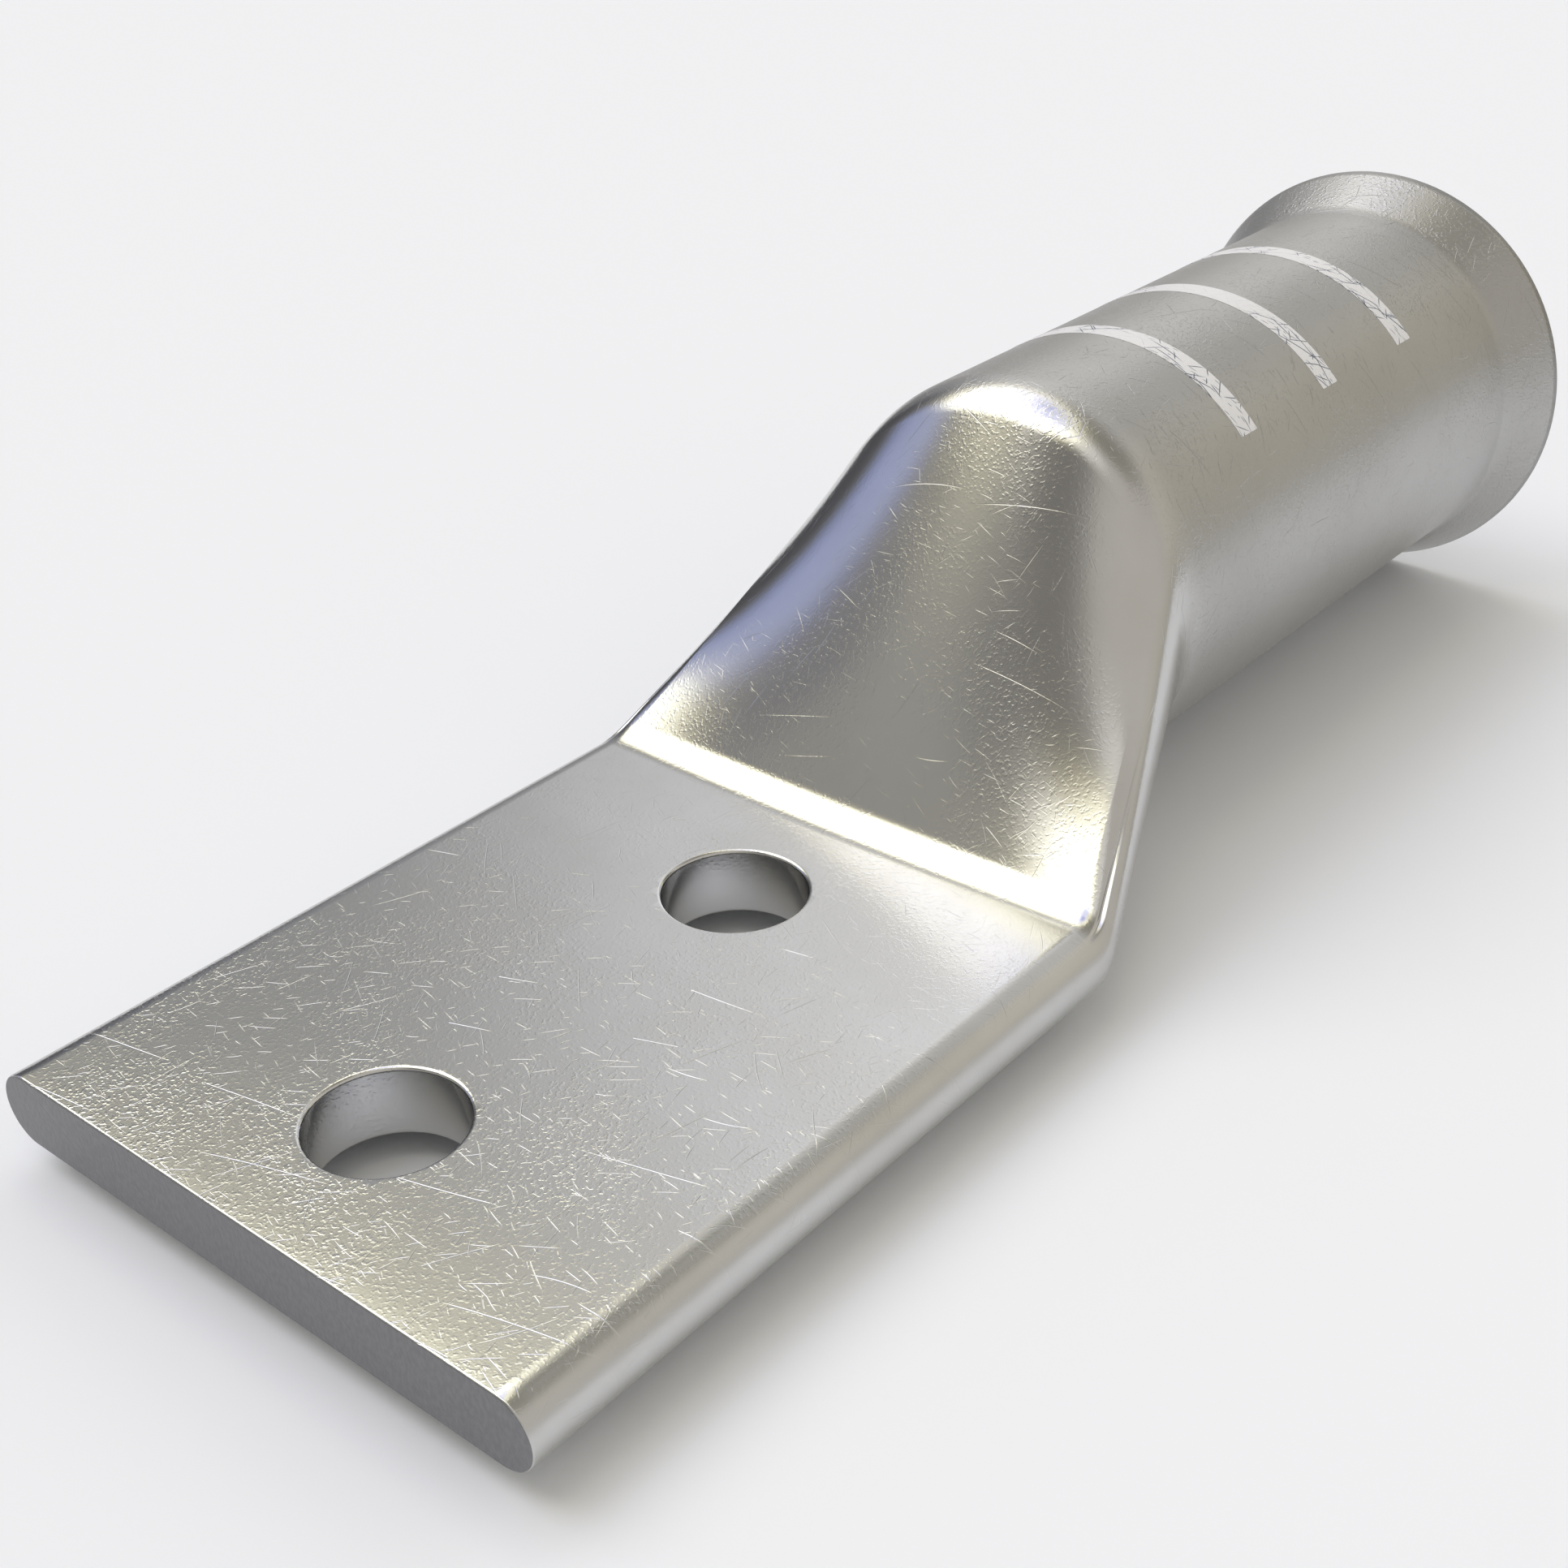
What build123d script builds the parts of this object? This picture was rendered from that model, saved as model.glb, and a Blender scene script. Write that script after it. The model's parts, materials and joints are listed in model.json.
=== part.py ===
from build123d import *
from math import asin, atan2, cos, hypot, radians, sin, tan
import os

# A compression lug made from one length of tube: a round barrel that takes the cable, a belled mouth,
# and a tongue where the tube is pressed flat and punched with two bolt holes.
# The origin is midway between the holes on the tongue's underside, with +X towards the barrel.

# Tube
barrel_diameter = 44.47
wall = 3.655

# Tongue
tongue_width = 66.15
tongue_length = 75.93
end_edge_radius = 0.25

# Bolt holes
hole_diameter = 14.3
hole_spacing = 44.45
hole_end_distance = 15.8
hole_rim_chamfer = 0.4

# Pressed transition
transition_length = 28.92
side_angle = 23.5
crease_radius = 5.5
shoulder_radius = 7.0
slit_height = 0.5
least_ridge = 1.45
fold_angle = 58.0
fold_depth = 0.34
fold_width = 0.95
fold_share = 0.62

# Barrel and bell
barrel_rise = 0.73
barrel_length = 76.25
bell_diameter = 51.31
bell_length = 7.38
bell_bend_radius = 5.0
mouth_inner_chamfer = 0.6

tongue_thickness = 2 * wall
barrel_radius = barrel_diameter / 2
bell_radius = bell_diameter / 2
bore_radius = barrel_radius - wall
axis_height = barrel_rise + barrel_radius

free_end_x = -hole_spacing / 2 - hole_end_distance
crease_x = free_end_x + tongue_length
shoulder_x = crease_x + transition_length
bell_x = shoulder_x + barrel_length
mouth_x = bell_x + bell_length

# The inner skin lies one wall inside the outer one, so its creases sit further along by this much.
slope_angle = atan2(axis_height + barrel_radius - tongue_thickness, transition_length)
inner_crease_shift = wall * tan(slope_angle / 2)
bell_angle = atan2(bell_radius - barrel_radius, bell_length)
inner_bell_shift = wall * tan(bell_angle / 2)

barrel_axis = Axis((0, 0, axis_height), (1, 0, 0))
pick_tolerance = 0.01


def flattened_outline(x, width, height):
    """Top, side, bottom and side of the flattened tube, about the tongue's mid height."""
    corner = (width - height) / 2
    low = wall - height / 2
    high = wall + height / 2
    with BuildLine(Plane.YZ.offset(x)):
        top = Line((-corner, high), (corner, high))
        left = ThreePointArc((corner, high), (width / 2, wall), (corner, low))
        bottom = Line((corner, low), (-corner, low))
        right = ThreePointArc((-corner, low), (-width / 2, wall), (-corner, high))
    return [curve.edge() for curve in (top, left, bottom, right)]


def round_outline(x, radius):
    """The tube's circle as four arcs: each side arc opens into the tongue's half-round edge."""
    centre = (0, axis_height)
    side_arc = 2 * side_angle
    flat_arc = 180 - side_arc
    with BuildLine(Plane.YZ.offset(x)):
        top = CenterArc(centre, radius, 180 - side_angle, -flat_arc)
        left = CenterArc(centre, radius, side_angle, -side_arc)
        bottom = CenterArc(centre, radius, -side_angle, -flat_arc)
        right = CenterArc(centre, radius, 180 + side_angle, -side_arc)
    return [curve.edge() for curve in (top, left, bottom, right)]


def pressed_solid(flattened, rounded):
    """Ruled sides from each edge of the flattened outline to its match on the round one."""
    sides = [Face.make_surface_from_curves(a, b) for a, b in zip(flattened, rounded)]
    ends = [Face(Wire(flattened)), Face(Wire(rounded))]
    return Solid(Shell(sides + ends))


# Outer form without holes: tongue, transition and barrel
with BuildPart() as blank:
    add(
        pressed_solid(
            flattened_outline(crease_x, tongue_width, tongue_thickness),
            round_outline(shoulder_x, barrel_radius),
        )
    )
    with BuildSketch(Plane.YZ.offset(free_end_x)):
        with Locations((0, wall)):
            SlotOverall(tongue_width, tongue_thickness)
    extrude(amount=tongue_length)
    with BuildSketch(Plane.YZ.offset(shoulder_x)):
        with Locations((0, axis_height)):
            Circle(barrel_radius)
    extrude(amount=barrel_length)
    crease = (
        blank.edges()
        .filter_by(Axis.Y)
        .filter_by_position(Axis.X, crease_x - pick_tolerance, crease_x + pick_tolerance)
        .sort_by(Axis.Z)[-1]
    )
    fillet(crease, crease_radius)

# The shoulder is rounded over the top only, down to where the ridge between slope and barrel fades:
# least_ridge is how far one transition length of the slope would rise through the barrel's surface.
flat_half_width = tongue_width / 2 - wall
ridge_drop = axis_height - tongue_thickness
fade_angle = atan2(flat_half_width, ridge_drop) - asin(
    (barrel_radius - least_ridge) / hypot(flat_half_width, ridge_drop)
)
crown_angle = max(radians(side_angle), fade_angle)
shoulder_base = Plane.XY.offset(axis_height + barrel_radius * sin(crown_angle))

with BuildPart() as crown:
    add(blank.part)
    split(bisect_by=shoulder_base, keep=Keep.TOP)
    shoulder = crown.edges().filter_by(GeomType.CIRCLE).sort_by(Axis.X)[0]
    fillet(shoulder, shoulder_radius)

# Cable cavity: the bore, its belled mouth, and the pocket that narrows to a slit
with BuildPart() as cavity:
    add(
        pressed_solid(
            flattened_outline(crease_x + inner_crease_shift, tongue_width - 2 * wall, slit_height),
            round_outline(shoulder_x + inner_crease_shift, bore_radius),
        )
    )
    with BuildSketch(Plane.YZ.offset(shoulder_x + inner_crease_shift)):
        with Locations((0, axis_height)):
            Circle(bore_radius)
    extrude(amount=mouth_x - shoulder_x - inner_crease_shift)
    with BuildSketch(Plane.XZ):
        with BuildLine():
            inner_bell_x = bell_x + inner_bell_shift
            bell_bore_z = axis_height + bore_radius
            inner_mouth_z = bell_bore_z + (mouth_x - inner_bell_x) * tan(bell_angle)
            inner_bend_radius = bell_bend_radius + wall
            flare = FilletPolyline(
                (inner_bell_x - bell_length / 2, bell_bore_z),
                (inner_bell_x, bell_bore_z),
                (mouth_x, inner_mouth_z),
                radius=inner_bend_radius,
            )
            Polyline(flare @ 1, (mouth_x, axis_height), ((flare @ 0).X, axis_height), flare @ 0)
        make_face()
    revolve(axis=barrel_axis)

# Pressing leaves a fold line along each side of the slope, deepest at the crease and fading upwards.
# It follows the straight line of the pressed side that starts at fold_angle on the tongue's edge.
fold_rise = radians(fold_angle)
fold_end_angle = radians(side_angle * fold_angle / 90)
fold_start = Vector(crease_x, flat_half_width + wall * cos(fold_rise), wall + wall * sin(fold_rise))
fold_aim = Vector(
    shoulder_x,
    barrel_radius * cos(fold_end_angle),
    axis_height + barrel_radius * sin(fold_end_angle),
)
fold_line = (fold_aim - fold_start).normalized()
fold_outward = fold_line.cross(Vector(0, sin(fold_rise), -cos(fold_rise))).normalized()
fold_radius = (fold_width**2 / 4 + fold_depth**2) / (2 * fold_depth)
fold_centre = fold_start + fold_outward * (fold_radius - fold_depth)
fold_tip_radius = (fold_radius - fold_depth) / 2
fold_length = fold_share * (fold_aim - fold_start).length
cone_length = fold_length * (fold_radius - fold_tip_radius) / fold_depth

with BuildPart() as fold_cut:
    with Locations(Plane(origin=fold_centre, z_dir=fold_line)):
        Cone(fold_radius, fold_tip_radius, cone_length, align=(Align.CENTER, Align.CENTER, Align.MIN))
    mirror(about=Plane.XZ)

with BuildPart() as compression_lug:
    add(blank.part)
    split(bisect_by=shoulder_base, keep=Keep.BOTTOM)
    add(crown.part)
    with BuildSketch(Plane.XZ):
        with BuildLine():
            barrel_top_z = axis_height + barrel_radius
            outer_flare = FilletPolyline(
                (bell_x - bell_length / 2, barrel_top_z),
                (bell_x, barrel_top_z),
                (mouth_x, axis_height + bell_radius),
                radius=bell_bend_radius,
            )
            Polyline(
                outer_flare @ 1,
                (mouth_x, axis_height),
                ((outer_flare @ 0).X, axis_height),
                outer_flare @ 0,
            )
        make_face()
    revolve(axis=barrel_axis)
    add(cavity.part, mode=Mode.SUBTRACT)
    add(fold_cut.part, mode=Mode.SUBTRACT)
    with Locations((0, 0, tongue_thickness)):
        with GridLocations(hole_spacing, 0, 2, 1):
            Hole(hole_diameter / 2)
    hole_rims = compression_lug.edges().filter_by(GeomType.CIRCLE).filter_by(
        lambda edge: abs(edge.radius - hole_diameter / 2) < pick_tolerance
    )
    chamfer(hole_rims, hole_rim_chamfer)
    end_edges = compression_lug.faces().sort_by(Axis.X)[0].edges()
    fillet(end_edges, end_edge_radius)
    mouth_edges = compression_lug.faces().sort_by(Axis.X)[-1].edges().sort_by(SortBy.RADIUS)
    chamfer(mouth_edges[0], mouth_inner_chamfer)

os.makedirs("parts", exist_ok=True)
compression_lug.part.label = "compression_lug"
export_step(compression_lug.part, "parts/compression_lug.step")
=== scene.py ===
"""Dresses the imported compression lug: its tin-plated skin, the printed crimp bands and a plain studio.

Lengths are in millimetres in the row's frame until a mesh is finished, and then in metres.
"""

import json
import logging
from dataclasses import dataclass, field
from enum import Enum
from math import atan2, cos, pi, radians, sin, tan

import bmesh
import bpy
from mathutils import Euler, Matrix, Vector

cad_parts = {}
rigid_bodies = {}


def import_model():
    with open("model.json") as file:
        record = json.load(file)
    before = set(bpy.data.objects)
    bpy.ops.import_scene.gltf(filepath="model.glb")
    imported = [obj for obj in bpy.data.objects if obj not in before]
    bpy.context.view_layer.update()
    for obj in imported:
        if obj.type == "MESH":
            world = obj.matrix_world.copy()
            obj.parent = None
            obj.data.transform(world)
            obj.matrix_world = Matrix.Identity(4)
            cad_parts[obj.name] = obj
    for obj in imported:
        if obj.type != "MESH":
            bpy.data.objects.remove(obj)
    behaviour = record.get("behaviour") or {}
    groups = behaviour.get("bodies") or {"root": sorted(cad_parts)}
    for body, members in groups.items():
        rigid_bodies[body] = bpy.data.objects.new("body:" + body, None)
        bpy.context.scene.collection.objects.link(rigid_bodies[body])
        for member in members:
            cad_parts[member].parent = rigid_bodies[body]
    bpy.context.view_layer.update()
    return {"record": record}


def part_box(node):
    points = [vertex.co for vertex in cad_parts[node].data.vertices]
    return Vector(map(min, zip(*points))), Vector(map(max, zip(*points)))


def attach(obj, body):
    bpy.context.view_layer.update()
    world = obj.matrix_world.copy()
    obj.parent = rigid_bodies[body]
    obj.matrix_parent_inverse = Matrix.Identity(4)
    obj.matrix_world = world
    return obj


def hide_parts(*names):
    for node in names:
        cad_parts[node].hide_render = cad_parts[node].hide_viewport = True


Socket = bpy.types.NodeSocket
Span = tuple[float, float]
Colour = tuple[float, float, float]
LOG = logging.getLogger("compression_lug")
METRES = 0.001
MERGE_DISTANCE = 0.0005
NODE_NAME = "compression_lug"


class Slot(Enum):
    """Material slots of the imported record."""

    TIN_PLATE = "tin_plate"
    WHITE_INK = "white_ink"


class Stage(Enum):
    """The stretches that the tube's wall passes through, from the tongue's end to the pocket's end."""

    END_EDGE = "end_edge"
    TONGUE = "tongue"
    CREASE = "crease"
    SLOPE = "slope"
    SHOULDER = "shoulder"
    BARREL = "barrel"
    BELL_BEND = "bell_bend"
    BELL = "bell"
    LIP = "lip"
    INNER_BELL = "inner_bell"
    INNER_BEND = "inner_bend"
    BORE = "bore"
    POCKET = "pocket"


def record_mount(record: dict, name: str) -> dict:
    """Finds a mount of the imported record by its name."""
    return next(mount for mount in record["mounts"] if mount["name"] == name)


@dataclass(frozen=True)
class LugSizes:
    """The lug's sizes in millimetres, worked out from the frame where it holds them."""

    free_end_x: float
    mouth_x: float
    tongue_half_width: float
    axis_height: float
    bore_radius: float
    bell_radius: float
    hole_radius: float
    hole_spacing: float
    wall: float = 3.655
    transition_length: float = 28.92
    tongue_length: float = 75.93
    side_angle: float = 23.5
    crease_radius: float = 5.5
    shoulder_radius: float = 7.0
    slit_height: float = 0.5
    fold_angle: float = 58.0
    fold_depth: float = 0.34
    fold_width: float = 0.95
    fold_share: float = 0.62
    bell_length: float = 7.38
    bell_bend_radius: float = 5.0
    end_edge_radius: float = 0.25
    hole_rim_radius: float = 0.4
    mouth_outer_edge: float = 0.12
    mouth_inner_edge: float = 0.6

    @classmethod
    def from_frame(cls, record: dict) -> "LugSizes":
        """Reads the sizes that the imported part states.

        Args:
            record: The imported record, with its mounts.

        Returns:
            The lug's sizes.
        """
        low, high = (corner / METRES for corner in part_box(NODE_NAME))
        bore = record_mount(record, "cable_bore")
        holes = record_mount(record, "tongue_holes")
        axis_height = bore["pos_m"][2] / METRES
        return cls(
            free_end_x=low.x,
            mouth_x=high.x,
            tongue_half_width=high.y,
            axis_height=axis_height,
            bore_radius=bore["dims"]["r_mm"],
            bell_radius=high.z - axis_height,
            hole_radius=holes["dims"]["hole_r_mm"],
            hole_spacing=holes["dims"]["spacing_x_mm"],
        )

    @property
    def barrel_radius(self) -> float:
        """Outside radius of the barrel."""
        return self.bore_radius + self.wall

    @property
    def thickness(self) -> float:
        """Thickness of the tongue, which is two walls."""
        return 2 * self.wall

    @property
    def crease_x(self) -> float:
        """Where the slope leaves the tongue."""
        return self.free_end_x + self.tongue_length

    @property
    def shoulder_x(self) -> float:
        """Where the slope meets the barrel."""
        return self.crease_x + self.transition_length

    @property
    def bell_x(self) -> float:
        """Where the bell's cone would leave the barrel if its bend were sharp."""
        return self.mouth_x - self.bell_length

    @property
    def bell_angle(self) -> float:
        """Half-angle of the bell's cone, in radians."""
        return atan2(self.bell_radius - self.barrel_radius, self.bell_length)

    @property
    def side_arc(self) -> float:
        """Length of the barrel's arc that the tongue's half-round edge opens into."""
        return 2 * radians(self.side_angle) * self.barrel_radius


def round_corner(before: Vector, corner: Vector, after: Vector, radius: float, part: float) -> Vector:
    """A point on the arc that rounds a corner between two straight runs.

    Args:
        before: A point on the run that comes in.
        corner: The corner itself.
        after: A point on the run that goes out.
        radius: The arc's radius.
        part: How far along the arc, from 0 to 1.

    Returns:
        The point.
    """
    way_in = (corner - before).normalized()
    way_out = (after - corner).normalized()
    turn = way_in.angle(way_out, 0.0)
    reach = radius * tan(turn / 2)
    start = corner - way_in * reach
    end = corner + way_out * reach
    middle = 2 * cos(turn / 2) * part * (1 - part)
    total = (1 - part) ** 2 + middle + part**2
    return (start * (1 - part) ** 2 + corner * middle + end * part**2) / total


def corner_reach(before: Vector, corner: Vector, after: Vector, radius: float) -> float:
    """How far from a corner its rounding begins, along each of the two runs."""
    turn = (corner - before).angle(after - corner, 0.0)
    return radius * tan(turn / 2)


@dataclass
class TubeSkin:
    """The lug's whole surface as one sheet: a tube pressed flat at one end and folded in at the mouth."""

    sizes: LugSizes
    flat_segments: int = 64
    side_segments: int = 64
    stage_segments: dict[Stage, int] = field(
        default_factory=lambda: {
            Stage.END_EDGE: 4,
            Stage.TONGUE: 40,
            Stage.CREASE: 12,
            Stage.SLOPE: 44,
            Stage.SHOULDER: 14,
            Stage.BARREL: 40,
            Stage.BELL_BEND: 9,
            Stage.BELL: 8,
            Stage.LIP: 8,
            Stage.INNER_BELL: 5,
            Stage.INNER_BEND: 8,
            Stage.BORE: 16,
            Stage.POCKET: 26,
        }
    )

    @property
    def around(self) -> int:
        """Number of segments round the tube."""
        return 2 * (self.flat_segments + self.side_segments)

    def stations(self) -> list[tuple[Stage, float]]:
        """Lists the sheet's rows.

        Returns:
            A stage and how far along it the row lies, from 0 to 1, for each row.
        """
        rows = [(Stage.END_EDGE, 0.0)]
        for stage, count in self.stage_segments.items():
            rows += [(stage, (step + 1) / count) for step in range(count)]
        return rows

    def column(self, index: int) -> tuple[int, float]:
        """Finds the side of the outline that a column of the sheet lies on.

        The sheet's seam runs along the middle of the bottom.

        Args:
            index: The column, from 0 to the number of segments round the tube.

        Returns:
            The side, 0 top, 1 left, 2 bottom or 3 right, and how far along it, from 0 to 1.
        """
        counts = (self.flat_segments, self.side_segments) * 2
        start = sum(counts[:2]) + counts[2] // 2
        index = (index + start) % self.around
        side = 0
        while index >= counts[side]:
            index -= counts[side]
            side += 1
        return side, index / counts[side]

    def flattened(self, side: int, part: float, half_width: float, height: float) -> tuple[float, float]:
        """A point of the flattened outline: flats joined by half-round sides.

        Args:
            side: The side of the outline.
            part: How far along the side.
            half_width: Half the outline's width.
            height: The outline's height.

        Returns:
            The point's y and z.
        """
        radius = height / 2
        corner = half_width - radius
        middle = self.sizes.wall
        if side in (0, 2):
            sign = 1 if side == 0 else -1
            return sign * corner * (2 * part - 1), middle + sign * radius
        sign = 1 if side == 1 else -1
        angle = pi / 2 - pi * part
        return sign * (corner + radius * cos(angle)), middle + sign * radius * sin(angle)

    def rounded(self, side: int, part: float, radius: float) -> tuple[float, float]:
        """A point of the tube's circle.

        Args:
            side: The side of the outline.
            part: How far along the side.
            radius: The circle's radius.

        Returns:
            The point's y and z.
        """
        side_angle = self.sizes.side_angle
        side_arc = 2 * side_angle
        flat_arc = 180 - side_arc
        starts = (180 - side_angle, side_angle, -side_angle, 180 + side_angle)
        arcs = (flat_arc, side_arc, flat_arc, side_arc)
        angle = radians(starts[side] - arcs[side] * part)
        return radius * cos(angle), self.sizes.axis_height + radius * sin(angle)

    def point(self, column: int, stage: Stage, along: float) -> Vector:
        """Bends a point of the sheet to its place on the lug.

        Args:
            column: The sheet's column.
            stage: The stretch that the row lies on.
            along: How far along the stretch, from 0 to 1.

        Returns:
            The point, in millimetres.
        """
        side, part = self.column(column)
        if stage in (Stage.END_EDGE, Stage.TONGUE, Stage.CREASE, Stage.SLOPE, Stage.SHOULDER, Stage.BARREL):
            return self.outer_point(side, part, stage, along)
        if stage in (Stage.BORE, Stage.POCKET):
            return self.inner_point(side, part, stage, along)
        x, radius = self.bell_profile(stage, along)
        return Vector((x, *self.rounded(side, part, radius)))

    def outer_point(self, side: int, part: float, stage: Stage, along: float) -> Vector:
        """A point of the outer skin, from the tongue's end to the bell.

        Args:
            side: The side of the outline.
            part: How far along the side.
            stage: The stretch that the row lies on.
            along: How far along the stretch.

        Returns:
            The point.
        """
        s = self.sizes
        foot = Vector((s.crease_x, *self.flattened(side, part, s.tongue_half_width, s.thickness)))
        top = Vector((s.shoulder_x, *self.rounded(side, part, s.barrel_radius)))
        tongue_end = Vector((s.free_end_x, foot.y, foot.z))
        barrel_end = Vector((s.bell_x, top.y, top.z))
        crease_reach = corner_reach(tongue_end, foot, top, s.crease_radius)
        shoulder_reach = corner_reach(foot, top, barrel_end, s.shoulder_radius)
        slope = (top - foot).normalized()
        if stage == Stage.END_EDGE:
            angle = along * pi / 2
            inset = s.end_edge_radius * (1 - sin(angle))
            section = self.flattened(side, part, s.tongue_half_width - inset, s.thickness - 2 * inset)
            return Vector((s.free_end_x + s.end_edge_radius * (1 - cos(angle)), *section))
        if stage == Stage.TONGUE:
            start = s.free_end_x + s.end_edge_radius
            return Vector((start + along * (s.crease_x - crease_reach - start), foot.y, foot.z))
        if stage == Stage.CREASE:
            return round_corner(tongue_end, foot, top, s.crease_radius, along)
        if stage == Stage.SLOPE:
            first = foot + slope * crease_reach
            return first.lerp(top - slope * shoulder_reach, along)
        if stage == Stage.SHOULDER:
            return round_corner(foot, top, barrel_end, s.shoulder_radius, along)
        start = s.shoulder_x + shoulder_reach
        end = s.bell_x - s.bell_bend_radius * tan(s.bell_angle / 2)
        return Vector((start + along * (end - start), top.y, top.z))

    def bell_profile(self, stage: Stage, along: float) -> tuple[float, float]:
        """A point of the bell's profile, outside, over the lip and back inside.

        Args:
            stage: The stretch that the row lies on.
            along: How far along the stretch.

        Returns:
            The point's x and its distance from the axis.
        """
        s = self.sizes
        rise = tan(s.bell_angle)
        inward = Vector((-1, 0))
        corner = Vector((s.bell_x, s.barrel_radius))
        rim = Vector((s.mouth_x, s.bell_radius))
        inner_corner = Vector((s.bell_x + s.wall * tan(s.bell_angle / 2), s.bore_radius))
        inner_rim = Vector((s.mouth_x, inner_corner.y + (s.mouth_x - inner_corner.x) * rise))
        if stage == Stage.BELL_BEND:
            return tuple(round_corner(corner + inward, corner, rim, s.bell_bend_radius, along))
        if stage == Stage.BELL:
            reach = s.bell_bend_radius * tan(s.bell_angle / 2)
            start = corner + (rim - corner).normalized() * reach
            end = rim - (rim - corner).normalized() * s.mouth_outer_edge
            return tuple(start.lerp(end, along))
        if stage == Stage.LIP:
            outer = rim - Vector((0, s.mouth_outer_edge))
            inner = inner_rim + Vector((0, s.mouth_inner_edge))
            if along <= 0.5:
                return tuple(outer.lerp(inner, 2 * along))
            return tuple(round_corner(outer, inner_rim, inner_corner, s.mouth_inner_edge, 2 * along - 1))
        bend = s.bell_bend_radius + s.wall
        if stage == Stage.INNER_BELL:
            start = round_corner(rim, inner_rim, inner_corner, s.mouth_inner_edge, 1.0)
            end = inner_corner + (inner_rim - inner_corner).normalized() * bend * tan(s.bell_angle / 2)
            return tuple(start.lerp(end, along))
        return tuple(round_corner(inner_rim, inner_corner, inner_corner + inward, bend, along))

    def inner_point(self, side: int, part: float, stage: Stage, along: float) -> Vector:
        """A point of the bore or of the pocket that narrows behind it.

        Args:
            side: The side of the outline.
            part: How far along the side.
            stage: The stretch that the row lies on.
            along: How far along the stretch.

        Returns:
            The point.
        """
        s = self.sizes
        steepest = atan2(s.axis_height + s.barrel_radius - s.thickness, s.transition_length)
        shift = s.wall * tan(steepest / 2)
        bore_end = s.shoulder_x + shift
        mouth_side = Vector((bore_end, *self.rounded(side, part, s.bore_radius)))
        if stage == Stage.BORE:
            start = s.bell_x - s.bell_bend_radius * tan(s.bell_angle / 2)
            return Vector((start + along * (bore_end - start), mouth_side.y, mouth_side.z))
        slit = self.flattened(side, part, s.tongue_half_width - s.wall, s.slit_height)
        return mouth_side.lerp(Vector((s.crease_x + shift, *slit)), along)

    def fold_offset(self, side: int, part: float, stage: Stage, along: float) -> float:
        """Depth of the fold line that pressing leaves along each side of the slope.

        Args:
            side: The side of the outline.
            part: How far along the side.
            stage: The stretch that the row lies on.
            along: How far along the stretch.

        Returns:
            The depth in millimetres, 0 away from the fold line.
        """
        if side not in (1, 3) or stage not in (Stage.CREASE, Stage.SLOPE):
            return 0.0
        s = self.sizes
        left = 1 - along / s.fold_share if stage == Stage.SLOPE else along
        if left <= 0:
            return 0.0
        climb = along if stage == Stage.SLOPE else 0.0
        side_length = (1 - climb) * pi * s.wall + climb * s.side_arc
        angle = 90 - 180 * part if side == 1 else 180 * part - 90
        distance = (angle - s.fold_angle) / 180 * side_length
        across = max(0.0, 1 - (distance / (s.fold_width / 2)) ** 2 / left)
        return s.fold_depth * left * across**2

    def build(self) -> bmesh.types.BMesh:
        """Bends a flat grid into the lug's skin and closes its ends.

        Returns:
            The skin, in millimetres.
        """
        rows = self.stations()
        places = [[self.point(column, *row) for column in range(self.around + 1)] for row in rows]
        skin = bmesh.new()
        bmesh.ops.create_grid(skin, x_segments=self.around, y_segments=len(rows) - 1, size=0.5)
        low = Vector(map(min, zip(*(vertex.co for vertex in skin.verts))))
        high = Vector(map(max, zip(*(vertex.co for vertex in skin.verts))))
        spots = {}
        for vertex in skin.verts:
            column = round((vertex.co.x - low.x) / (high.x - low.x) * self.around)
            row = round((vertex.co.y - low.y) / (high.y - low.y) * (len(rows) - 1))
            spots[vertex] = (row, column)
        self.unroll(skin, spots, places)
        sunk = []
        for vertex, (row, column) in spots.items():
            vertex.co = places[row][column]
            depth = self.fold_offset(*self.column(column), *rows[row])
            if depth > 0:
                sunk.append((vertex, depth))
        bmesh.ops.remove_doubles(skin, verts=skin.verts, dist=MERGE_DISTANCE)
        open_edges = [edge for edge in skin.edges if edge.is_boundary]
        bmesh.ops.holes_fill(skin, edges=open_edges, sides=0)
        bmesh.ops.recalc_face_normals(skin, faces=skin.faces)
        skin.normal_update()
        moves = [(vertex, vertex.normal * depth) for vertex, depth in sunk if vertex.is_valid]
        for vertex, move in moves:
            vertex.co -= move
        return skin

    def unroll(self, skin: bmesh.types.BMesh, spots: dict, places: list[list[Vector]]) -> None:
        """Gives the sheet a UV map in metres: the distance round the tube, and the distance along its top.

        Args:
            skin: The sheet, still flat.
            spots: The row and column of each vertex.
            places: The bent place of each row and column.
        """
        middle = self.around // 2
        along = [0.0]
        for before, after in zip(places, places[1:]):
            along.append(along[-1] + (after[middle] - before[middle]).length)
        round_it = []
        for row in places:
            steps = [0.0]
            for before, after in zip(row, row[1:]):
                steps.append(steps[-1] + (after - before).length)
            round_it.append([step - steps[middle] for step in steps])
        layer = skin.loops.layers.uv.new("unrolled")
        for face in skin.faces:
            for loop in face.loops:
                row, column = spots[loop.vert]
                loop[layer].uv = (round_it[row][column] * METRES, along[row] * METRES)


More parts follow.
